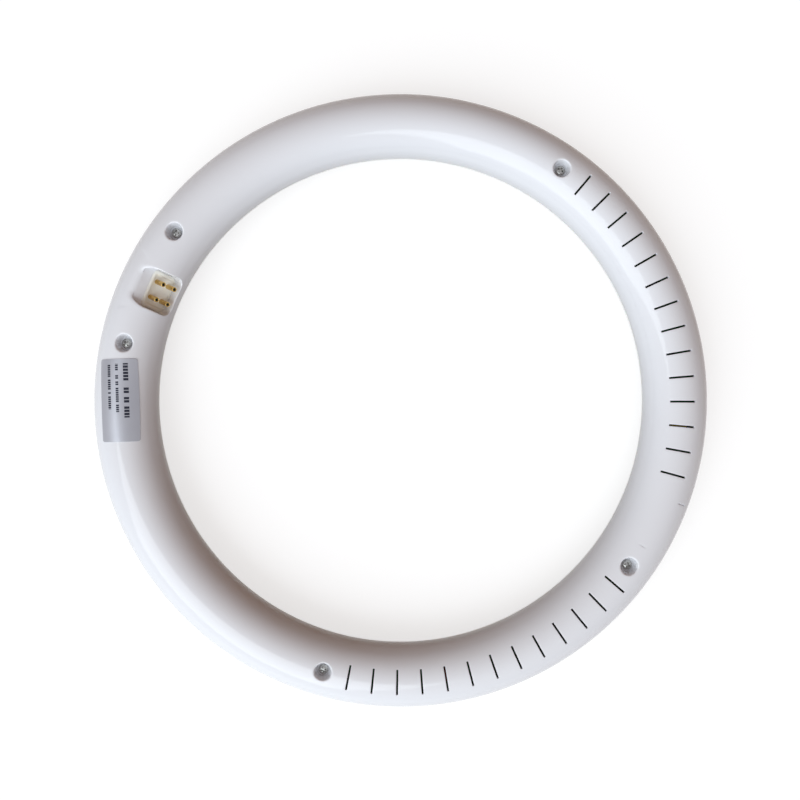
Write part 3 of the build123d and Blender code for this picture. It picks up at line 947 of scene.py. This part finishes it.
    def pocket_surface(self, plan: Array) -> Array:
        """Give points of the floor and, outside it, of a wall as high as the distance over tan draft."""
        rise = np.maximum(self.pocket_outside(plan), 0.0) / tan(radians(self.pocket_draft))
        return self.sizes.tilted(plan, self.sizes.pocket_floor + rise)

    def pocket_skin(self, plan: Array) -> Array:
        """Give points of the outer skin over the pocket's plan, found along the pin axis."""
        low, high = (np.full(len(plan), level) for level in self.pocket_levels)
        return self.sizes.tilted(
            plan, bisect(low, high, lambda level: self.arc.level(self.sizes.tilted(plan, level)) < 0)
        )

    def pocket(self) -> None:
        """Sink the plug pocket along rays from a hub in its floor.

        Each ray runs from the window's rim over the skin to the pocket's lip, down the wall to the floor,
        along the floor to the opening for the pin base, and back under the floor to the inner skin.
        """
        half, low, high = self.pocket_window
        cut = self.window(0.0, half, radians(low), radians(high))
        hub = np.array([0.0, self.pocket_hub])
        reach = self.pocket_plan(self.shell.points(self.rims(cut)[0])) - hub
        length = np.hypot(reach[:, 0], reach[:, 1])

        def ray(share: Array) -> Array:
            """Give the plan's point at a share of each ray."""
            return hub + reach * share[:, None]

        def in_opening(share: Array) -> Array:
            """Tell whether a ray's point lies in the opening for the pin base."""
            plan = ray(share) - np.array([0.0, self.opening_middle])
            return rounded_box(plan, self.opening_half, self.opening_corner) < 0

        ends = np.zeros(len(reach)), np.ones(len(reach))
        lip_at = bisect(*ends, lambda share: self.arc.level(self.pocket_surface(ray(share))) < 0)
        foot_at = np.minimum(bisect(*ends, lambda share: self.pocket_outside(ray(share)) < 0), lip_at)
        opening = ray(np.minimum(bisect(*ends, in_opening), foot_at * self.opening_most))
        # The lip is rounder towards the pocket's outer end
        gain, offset = self.lip_outer_ramp
        outer_side = np.clip(reach[:, 1] / length * gain - offset, 0.0, 1.0)
        rounding = self.lip_round + (self.lip_outer_round - self.lip_round) * outer_side**2
        start = lip_at + np.minimum(rounding / length, (1 - lip_at) * self.lip_skin_share)
        lip = self.pocket_skin(ray(lip_at))
        foot = self.pocket_surface(ray(foot_at))
        edge = self.sizes.tilted(opening, self.sizes.pocket_floor)
        wall = np.linalg.norm(foot - lip, axis=1)
        last = wall + np.linalg.norm(edge - foot, axis=1)
        turn_in = np.minimum(rounding, last * self.lip_wall_share)
        bend = np.maximum(wall, turn_in + self.pocket_least_wall)
        floor = np.maximum(last - bend, self.pocket_least_floor)
        inner_lip = along_bend(lip, foot, edge, turn_in)
        made = [self.pocket_skin(ray(1 - (1 - start) * share)) for share in self.pocket_skirt]
        made += rounded_edge(self.pocket_skin(ray(start)), lip, inner_lip, self.lip_edge_rows)
        down = [turn_in + (bend - turn_in) * share for share in self.pocket_wall_rows]
        down += [bend + floor * share for share in self.pocket_floor_rows]
        made += [along_bend(lip, foot, edge, distance) for distance in down]
        made.append(self.sizes.tilted(opening, self.sizes.pocket_floor - self.sizes.wall))
        self.strip(cut, made)

    def build(self) -> Object:
        """Build the housing and let it stand for the CAD housing.

        Returns:
            The piece.
        """
        for middle, count in self.vent_turns:
            for step in range(count):
                self.vent(middle + (step - (count - 1) / 2) * self.vent_pitch)
        for degrees_round in self.sizes.screw_turns:
            self.well(degrees_round)
        for nick in self.nicks:
            self.nick(nick)
        self.pocket()
        self.shell.link(self.outer, keep=self.keep_outer)
        self.shell.link(self.inner, flip=True, keep=self.keep_inner)
        close_seam(self.shell, self.sizes, [self.outer, self.inner], self.rim_lip, upper=True)
        piece = self.shell.build("back_housing_shell", [self.finish.material()])
        return mount(piece, "back_housing")


@dataclass
class Diffuser:
    """Opal front half: a plain round shell with a shelf for the light board."""

    sizes: RingSizes
    finish: Finish
    columns: int = 720
    rows: int = 40
    rim_shelf: tuple[Pair, ...] = ((15.1, -0.12), (14.2, -0.12), (14.2, -2.8), (12.6, -2.8))

    def build(self) -> Object:
        """Build the diffuser and let it stand for the CAD diffuser.

        Each skin is the lower arc carried round the ring, from the height of its end of the shelf.

        Returns:
            The piece.
        """
        shell = Shell()
        arc = self.sizes.arc(-self.sizes.front_depth)
        skins = []
        for step, skin in ((0, 0.0), (-1, -self.sizes.wall)):
            height = self.sizes.front_depth + self.rim_shelf[step][1] * MM
            start = np.arcsin((height - arc.centre) / (arc.radius + skin))
            section = np.linspace(start, -np.pi - start, self.rows + 1)[:, None]
            skins.append(shell.add(arc.points(full_turn(self.columns)[None, :], section, skin)))
        shell.link(skins[0], flip=True)
        shell.link(skins[1])
        close_seam(shell, self.sizes, skins, self.rim_shelf, upper=False)
        return mount(shell.build("diffuser_shell", [self.finish.material()]), "diffuser")


@dataclass
class RatingLabel:
    """Thin foil over the crown, with rounded corners and a map in millimetres."""

    sizes: RingSizes
    finish: Finish
    turn: float = 24.2
    offset: float = -0.65 * MM
    lean: float = 1.7
    length: float = 39.4 * MM
    width: float = 17.9 * MM
    corner: float = 1.0 * MM
    glue: float = 0.1 * MM
    thickness: float = 0.12 * MM
    columns: int = 72
    rows: int = 32
    end_crowding: float = 1.35

    def build(self) -> Object:
        """Build the label: a straight-sided sheet pressed on to the tube, drawn in at its rounded corners.

        Near its ends the half width falls by a quarter circle, the root of the corner radius squared less
        the distance into the corner squared.

        Returns:
            The piece.
        """
        arc = self.sizes.arc(self.sizes.back_rise)
        along = np.linspace(-1.0, 1.0, self.columns + 1)
        eased = np.sign(along) * (1 - (1 - np.abs(along)) ** self.end_crowding)
        run = eased * self.length / 2
        past = np.maximum(np.abs(run) - (self.length / 2 - self.corner), 0.0)
        half = self.width / 2 - self.corner + np.sqrt(np.maximum(self.corner**2 - past**2, 0.0))
        across = np.linspace(1.0, -1.0, self.rows + 1)[:, None] * half[None, :]
        flat = np.stack([across, np.broadcast_to(run[None, :], across.shape)], axis=-1)
        middle = np.array([self.sizes.ring_radius + self.offset, 0.0])
        plan = turned(turned(flat, radians(self.lean)) + middle, radians(self.turn))
        shell = Shell()
        top = shell.add(arc.on_top(plan, self.glue + self.thickness))
        base = shell.add(arc.on_top(plan, self.glue))
        shell.link(top, wrap=False)
        shell.link(base, wrap=False, flip=True)
        on, back = slice(None), slice(None, None, -1)
        edge = ((on, 0), (-1, on), (back, -1), (0, back))
        loop = [np.concatenate([grid[at][:-1] for at in edge]) for grid in (base, top)]
        shell.link(np.stack(loop), flip=True)
        piece = shell.build("rating_label_foil", [self.finish.material()])
        spots = flat[..., ::-1].reshape(-1, 2) / MM
        layer = piece.data.uv_layers.new(name="label_mm")
        corners = np.zeros(len(piece.data.loops), np.int32)
        piece.data.loops.foreach_get("vertex_index", corners)
        layer.data.foreach_set("uv", np.concatenate([spots, spots])[corners].astype(np.float32).ravel())
        return mount(piece, "rating_label")


@dataclass
class HousingScrews:
    """Pan-head screws with a cross recess, down in the wells."""

    sizes: RingSizes
    finish: Finish
    head_radius: float = 2.35 * MM
    head_height: float = 1.8 * MM
    head_rows: int = 36
    middle_radius: float = 0.02 * MM
    dome: float = 0.75 * MM
    dome_power: float = 2.4
    rim_height: float = 0.25 * MM
    rim_chamfer: float = 0.1 * MM
    shank_radius: float = 1.3 * MM
    length: float = 15.0 * MM
    point_length: float = 1.2 * MM
    point_radius: float = 0.25 * MM
    recess_half: float = 1.4 * MM
    recess_width: float = 0.72 * MM
    recess_depth: float = 1.1 * MM
    recess_edge: float = 0.12 * MM
    recess_run_out: float = 0.55 * MM
    columns: int = 96
    turns: tuple[float, ...] = (20.0, 65.0, 38.0, 5.0, 80.0)
    sharp: float = 40.0

    def head(self, radius: Array, bearing: Array) -> Array:
        """Give the head's height over its seat: a dome, less the cross recess.

        The dome falls by a power of the radius. Each arm of the recess is its depth times a ramp across the
        arm and a ramp along it, and the deeper arm counts.

        Args:
            radius: distances from the screw's axis.
            bearing: angles round it, in radians.

        Returns:
            The heights, on the grid of both.
        """
        recess = 0.0
        for spin in (0.0, np.pi / 2):
            along = np.abs(radius * np.cos(bearing - spin))
            across = np.abs(radius * np.sin(bearing - spin))
            wide = np.clip((self.recess_width / 2 - across) / self.recess_edge + 0.5, 0.0, 1.0)
            long = np.clip((self.recess_half - along) / self.recess_run_out, 0.0, 1.0)
            recess = np.maximum(recess, self.recess_depth * wide * long)
        return self.head_height - self.dome * (radius / self.head_radius) ** self.dome_power - recess

    def build(self) -> Object:
        """Build the five screws as one piece: the head's grid, then a profile turned round each axis.

        Returns:
            The piece.
        """
        bearing = full_turn(self.columns)
        radius = np.linspace(self.middle_radius, self.head_radius, self.head_rows)[:, None]
        profile = np.array(
            [
                (self.head_radius, self.rim_height),
                (self.head_radius - self.rim_chamfer, 0.0),
                (self.shank_radius, 0.0),
                (self.shank_radius, self.point_length - self.length),
                (self.point_radius, -self.length),
            ]
        )
        shank = np.broadcast_to(profile[:, 1:], (len(profile), self.columns))
        reach = np.concatenate([radius, profile[:, :1]])
        height = np.concatenate([self.head(radius, bearing), shank])
        shell = Shell()
        for turn, spin in zip(self.sizes.screw_turns, self.turns):
            seat = ring(self.sizes.ring_radius, np.array(radians(turn)), self.sizes.screw_seat)
            shell.close(ring(reach, bearing + radians(spin), height) + seat, flip=True)
        piece = shell.build("housing_screw_set", [self.finish.material()], self.sharp)
        return mount(piece, "housing_screws")


@dataclass
class PlugPins:
    """Pin base in the pocket, and the four hollow contact pins that stand on it."""

    sizes: RingSizes
    base_finish: Finish
    pin_finish: Finish
    bore_shade_finish: Finish
    base_half: Pair = (9.25 * MM, 6.525 * MM)
    base_middle: float = 0.675 * MM
    base_corner: float = 2.2 * MM
    base_depth: float = 3.4 * MM
    recess_half: Pair = (7.35 * MM, 5.3 * MM)
    recess_corner: float = 1.1 * MM
    recess_depth: float = 1.0 * MM
    edge: float = 0.22 * MM
    pitch: Pair = (7.92 * MM, 6.35 * MM)
    pin_radius: float = 1.2 * MM
    pin_length: float = 7.0 * MM
    pin_sink: float = 0.3 * MM
    pin_straight: float = 0.6
    nose_points: int = 9
    bore_radius: float = 0.75 * MM
    bore_depth: float = 1.1 * MM
    bore_middle: Pair = (0.05 * MM, 1.0 * MM)
    pin_columns: int = 40
    base_columns: int = 96
    sharp: float = 50.0

    def outline(self, half: Pair, corner: float, middle: float) -> Array:
        """Give a rounded rectangle's points: on each bearing the place where its distance function is 0.

        Args:
            half: half its sides.
            corner: radius of its corners.
            middle: its middle, up the slope.

        Returns:
            Places along the tube and up the slope.
        """
        bearing = full_turn(self.base_columns)
        unit = np.stack([np.cos(bearing), np.sin(bearing)], axis=-1)
        near, far = np.zeros(self.base_columns), np.full(self.base_columns, 2 * hypot(*half))
        reach = bisect(near, far, lambda share: rounded_box(unit * share[:, None], half, corner) < 0)
        return unit * reach[:, None] + np.array([0.0, middle])

    def build_base(self) -> Object:
        """Build the pin base: outlines up its side, over its bevelled rim and down to its sunk floor.

        Returns:
            The piece.
        """
        floor = self.sizes.pocket_floor
        sunk = floor - self.recess_depth
        top = tuple(size - self.edge for size in self.base_half)
        wide = tuple(size + self.edge for size in self.recess_half)
        inside = tuple(size - self.edge for size in self.recess_half)
        lines = (
            (self.base_half, self.base_corner, self.base_middle, floor - self.base_depth),
            (self.base_half, self.base_corner, self.base_middle, floor - self.edge),
            (top, self.base_corner - self.edge, self.base_middle, floor),
            (wide, self.recess_corner + self.edge, 0.0, floor),
            (self.recess_half, self.recess_corner, 0.0, floor - self.edge),
            (self.recess_half, self.recess_corner, 0.0, sunk + self.edge),
            (inside, self.recess_corner, 0.0, sunk),
        )
        shell = Shell()
        shell.close(np.stack([self.sizes.tilted(self.outline(*box), level) for *box, level in lines]))
        piece = shell.build("pin_base_insert", [self.base_finish.material()], self.sharp)
        return mount(piece, "pin_base")

    def pin_profile(self) -> Array:
        """Work out a pin's profile: up the outside, over a half-round tip and down the bore.

        Returns:
            The radius and the level of each of its points.
        """
        floor = self.sizes.pocket_floor - self.recess_depth
        top = floor + self.pin_length
        tip = np.linspace(0.0, np.pi, self.nose_points)
        middle = (self.pin_radius + self.bore_radius) / 2
        half = (self.pin_radius - self.bore_radius) / 2
        nose = np.stack([middle + half * np.cos(tip), top - half + half * np.sin(tip)], axis=-1)
        foot = [
            (self.pin_radius, floor - self.pin_sink),
            (self.pin_radius, floor + self.pin_straight * self.pin_length),
        ]
        bore = [(self.bore_radius, top - self.bore_depth), (self.bore_middle[0], top - self.bore_middle[1])]
        return np.concatenate([foot, nose, bore])

    def build_pins(self) -> None:
        """Build the four pins: the profile turned round each pin's axis, with painted shade down in the
        bore.
        """
        brass, bore_shade = self.pin_finish.material(), self.bore_shade_finish.material()
        profile = self.pin_profile()
        bearing = full_turn(self.pin_columns)
        corners = [(along, across) for along in (-0.5, 0.5) for across in (-0.5, 0.5)]
        for number, corner in enumerate(corners, start=1):
            local = ring(profile[:, :1], bearing, profile[:, 1:])
            shell = Shell()
            plan = local[..., :2] + np.array(corner) * np.array(self.pitch)
            shell.close(self.sizes.tilted(plan, local[..., 2]))
            piece = shell.build(f"contact_pin_tube_{number}", [brass, bore_shade], self.sharp)
            # Faces come in rows up the profile, of which the last two are the bore's, then two end caps
            bore_start, bore_stop = ((len(profile) - back) * self.pin_columns for back in (3, 1))
            cap_faces = self.pin_columns // 2 - 1
            # The bore's walls and the cap at its bottom take the near-black painted shade
            inside = np.zeros(len(piece.data.polygons), np.int32)
            inside[bore_start:bore_stop] = 1
            inside[-cap_faces:] = 1
            piece.data.polygons.foreach_set("material_index", inside)
            mount(piece, f"contact_pin_{number}")

    def build(self) -> None:
        """Build the base and the pins."""
        self.build_base()
        self.build_pins()


@dataclass
class InnerParts:
    """The boards, their parts and the leads inside: CAD nodes that keep their shape and take a finish."""

    nodes: dict[str, Object]
    finishes: dict[Finish, tuple[str, ...]]

    def dress(self) -> None:
        """Give each node its finish's material."""
        for finish, names in self.finishes.items():
            material = finish.material()
            for name in names:
                mesh = self.nodes[name].data
                mesh.materials.clear()
                mesh.materials.append(material)
                LOG.info("%s: %s", name, finish.name)


@dataclass
class Studio:
    """Pale floor, soft light and the camera straight above the lamp.

    A cool key lamp on one side and a warm shade on the other add up to a plain light from above.
    """

    sizes: RingSizes
    roll: float = -155.8
    camera_height: float = 457.0 * MM
    view_angle: float = 46.6
    shift: Pair = (-0.0008, 0.0004)
    floor_half: float = 12.0
    floor_colour: str = "#A8A8A8"
    floor_glow: float = 0.72
    bounce_colour: str = "#4A3826"
    sky_colour: str = "#F3F4FA"
    sky_strength: float = 0.76
    shade_colour: str = "#7C4A0E"
    shade_bearing: float = 60.0
    shade_rise: float = 2.0
    shade_span: Pair = (-0.04, 0.3)
    key_colour: str = "#F0FAFF"
    key_bearing: float = 232.0
    key_rise: float = 46.0
    key_distance: float = 3.0
    key_size: float = 2.7
    key_watts: float = 65.0

    def bearing(self, image_angle: float, rise: float) -> tuple[float, float, float]:
        """Give a direction by where it shows in the picture.

        Args:
            image_angle: its angle in the picture, in degrees.
            rise: its elevation, in degrees.

        Returns:
            The direction, of length 1.
        """
        turn, lift = radians(image_angle + self.roll), radians(rise)
        return cos(turn) * cos(lift), sin(turn) * cos(lift), sin(lift)

    def seen(self, tree: NodeTree) -> Socket:
        """Tell what is looked at from what only lights the lamp.

        Args:
            tree: node tree of a material or the world.

        Returns:
            1 to the camera, in reflections and through clear pieces, else 0.
        """
        path = add_node(tree, "ShaderNodeLightPath").outputs
        seen = path["Is Camera Ray"]
        for kind in ("Is Glossy Ray", "Is Transmission Ray"):
            either = {0: seen, 1: path[kind]}
            seen = add_node(tree, "ShaderNodeMath", either, operation="MAXIMUM").outputs[0]
        return seen

    def floor(self) -> Object:
        """Build the floor: white where it is seen, with less light thrown back.

        Returns:
            The floor.
        """
        made = bpy.data.materials.new("studio_floor_paper")
        made.use_nodes = True
        tree = made.node_tree
        tree.nodes.remove(tree.nodes["Principled BSDF"])
        paper = add_node(tree, "ShaderNodeBsdfDiffuse", {"Color": linear(self.floor_colour)})
        glow = add_node(tree, "ShaderNodeEmission", {"Strength": self.floor_glow})
        white = add_node(tree, "ShaderNodeAddShader", {0: paper.outputs[0], 1: glow.outputs[0]})
        dim = add_node(tree, "ShaderNodeBsdfDiffuse", {"Color": linear(self.bounce_colour)})
        sides = {0: self.seen(tree), 1: dim.outputs[0], 2: white.outputs[0]}
        mix = add_node(tree, "ShaderNodeMixShader", sides)
        tree.links.new(mix.outputs[0], tree.nodes["Material Output"].inputs["Surface"])
        shell = Shell()
        edge = np.array([-self.floor_half, self.floor_half])
        plane = np.stack([*np.meshgrid(edge, edge), np.zeros((2, 2))], axis=-1)
        shell.link(shell.add(plane), wrap=False)
        piece = shell.build("studio_floor", [made])
        return piece

    def world(self) -> None:
        """Light the lamp all round, dimmer and warmer from one side, before a plain pale backdrop."""
        world = bpy.data.worlds.new("studio_sky")
        bpy.context.scene.world = world
        world.use_nodes = True
        tree = world.node_tree
        view = add_node(tree, "ShaderNodeTexCoord").outputs["Generated"]
        dark_side = {0: view, 1: self.bearing(self.shade_bearing, self.shade_rise)}
        side = add_node(tree, "ShaderNodeVectorMath", dark_side, operation="DOT_PRODUCT").outputs["Value"]
        span = {"Value": side, "From Min": self.shade_span[0], "From Max": self.shade_span[1]}
        blend = add_node(tree, "ShaderNodeMapRange", span, interpolation_type="SMOOTHSTEP")
        hidden = add_node(tree, "ShaderNodeMath", {0: 1.0, 1: self.seen(tree)}, operation="SUBTRACT")
        shares = {0: blend.outputs[0], 1: hidden.outputs[0]}
        shade = add_node(tree, "ShaderNodeMath", shares, operation="MULTIPLY").outputs[0]
        tones = {MIX_FIRST: linear(self.sky_colour), MIX_SECOND: linear(self.shade_colour)}
        colour = add_node(tree, "ShaderNodeMix", {"Factor": shade, **tones}, data_type="RGBA")
        background = tree.nodes["Background"]
        tree.links.new(colour.outputs[MIXED], background.inputs["Color"])
        background.inputs["Strength"].default_value = self.sky_strength

    def key_lamp(self) -> None:
        """Add the soft square lamp that faces the ring's middle."""
        light = bpy.data.lights.new("key_softbox", "AREA")
        light.shape = "SQUARE"
        light.size = self.key_size
        light.energy = self.key_watts
        light.color = linear(self.key_colour)[:3]
        made = bpy.data.objects.new("key_softbox", light)
        made.location = np.array(self.bearing(self.key_bearing, self.key_rise)) * self.key_distance
        heading = self.key_bearing + self.roll + 90.0
        made.rotation_euler = (radians(90.0 - self.key_rise), 0.0, radians(heading))
        bpy.context.scene.collection.objects.link(made)

    def camera(self) -> None:
        """Set the camera straight above, turned as in the photograph."""
        data = bpy.data.cameras.new("camera")
        data.angle = radians(self.view_angle)
        data.shift_x, data.shift_y = self.shift
        made = bpy.data.objects.new("camera", data)
        made.location = (0.0, 0.0, self.sizes.front_depth + self.camera_height)
        made.rotation_euler = (0.0, 0.0, radians(self.roll))
        bpy.context.scene.collection.objects.link(made)
        bpy.context.scene.camera = made

    def build(self) -> None:
        """Set up camera, floor and light."""
        self.camera()
        self.floor()
        self.world()
        self.key_lamp()
        bpy.context.scene.view_settings.view_transform = "Standard"


def main() -> None:
    """Load the frame, set up the studio and build the pieces in order."""
    logging.basicConfig(level=logging.INFO)
    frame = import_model()
    sizes = RingSizes()
    Studio(sizes).build()
    BackHousing(sizes, GLOSS_ABS).build()
    Diffuser(sizes, OPAL).build()
    RatingLabel(sizes, FOIL).build()
    HousingScrews(sizes, ZINC).build()
    PlugPins(sizes, CREAM_PBT, BRASS, PAINTED_BORE_SHADE).build()
    InnerParts(frame["nodes"], INNER_FINISHES).dress()


if __name__ == "__main__":
    main()
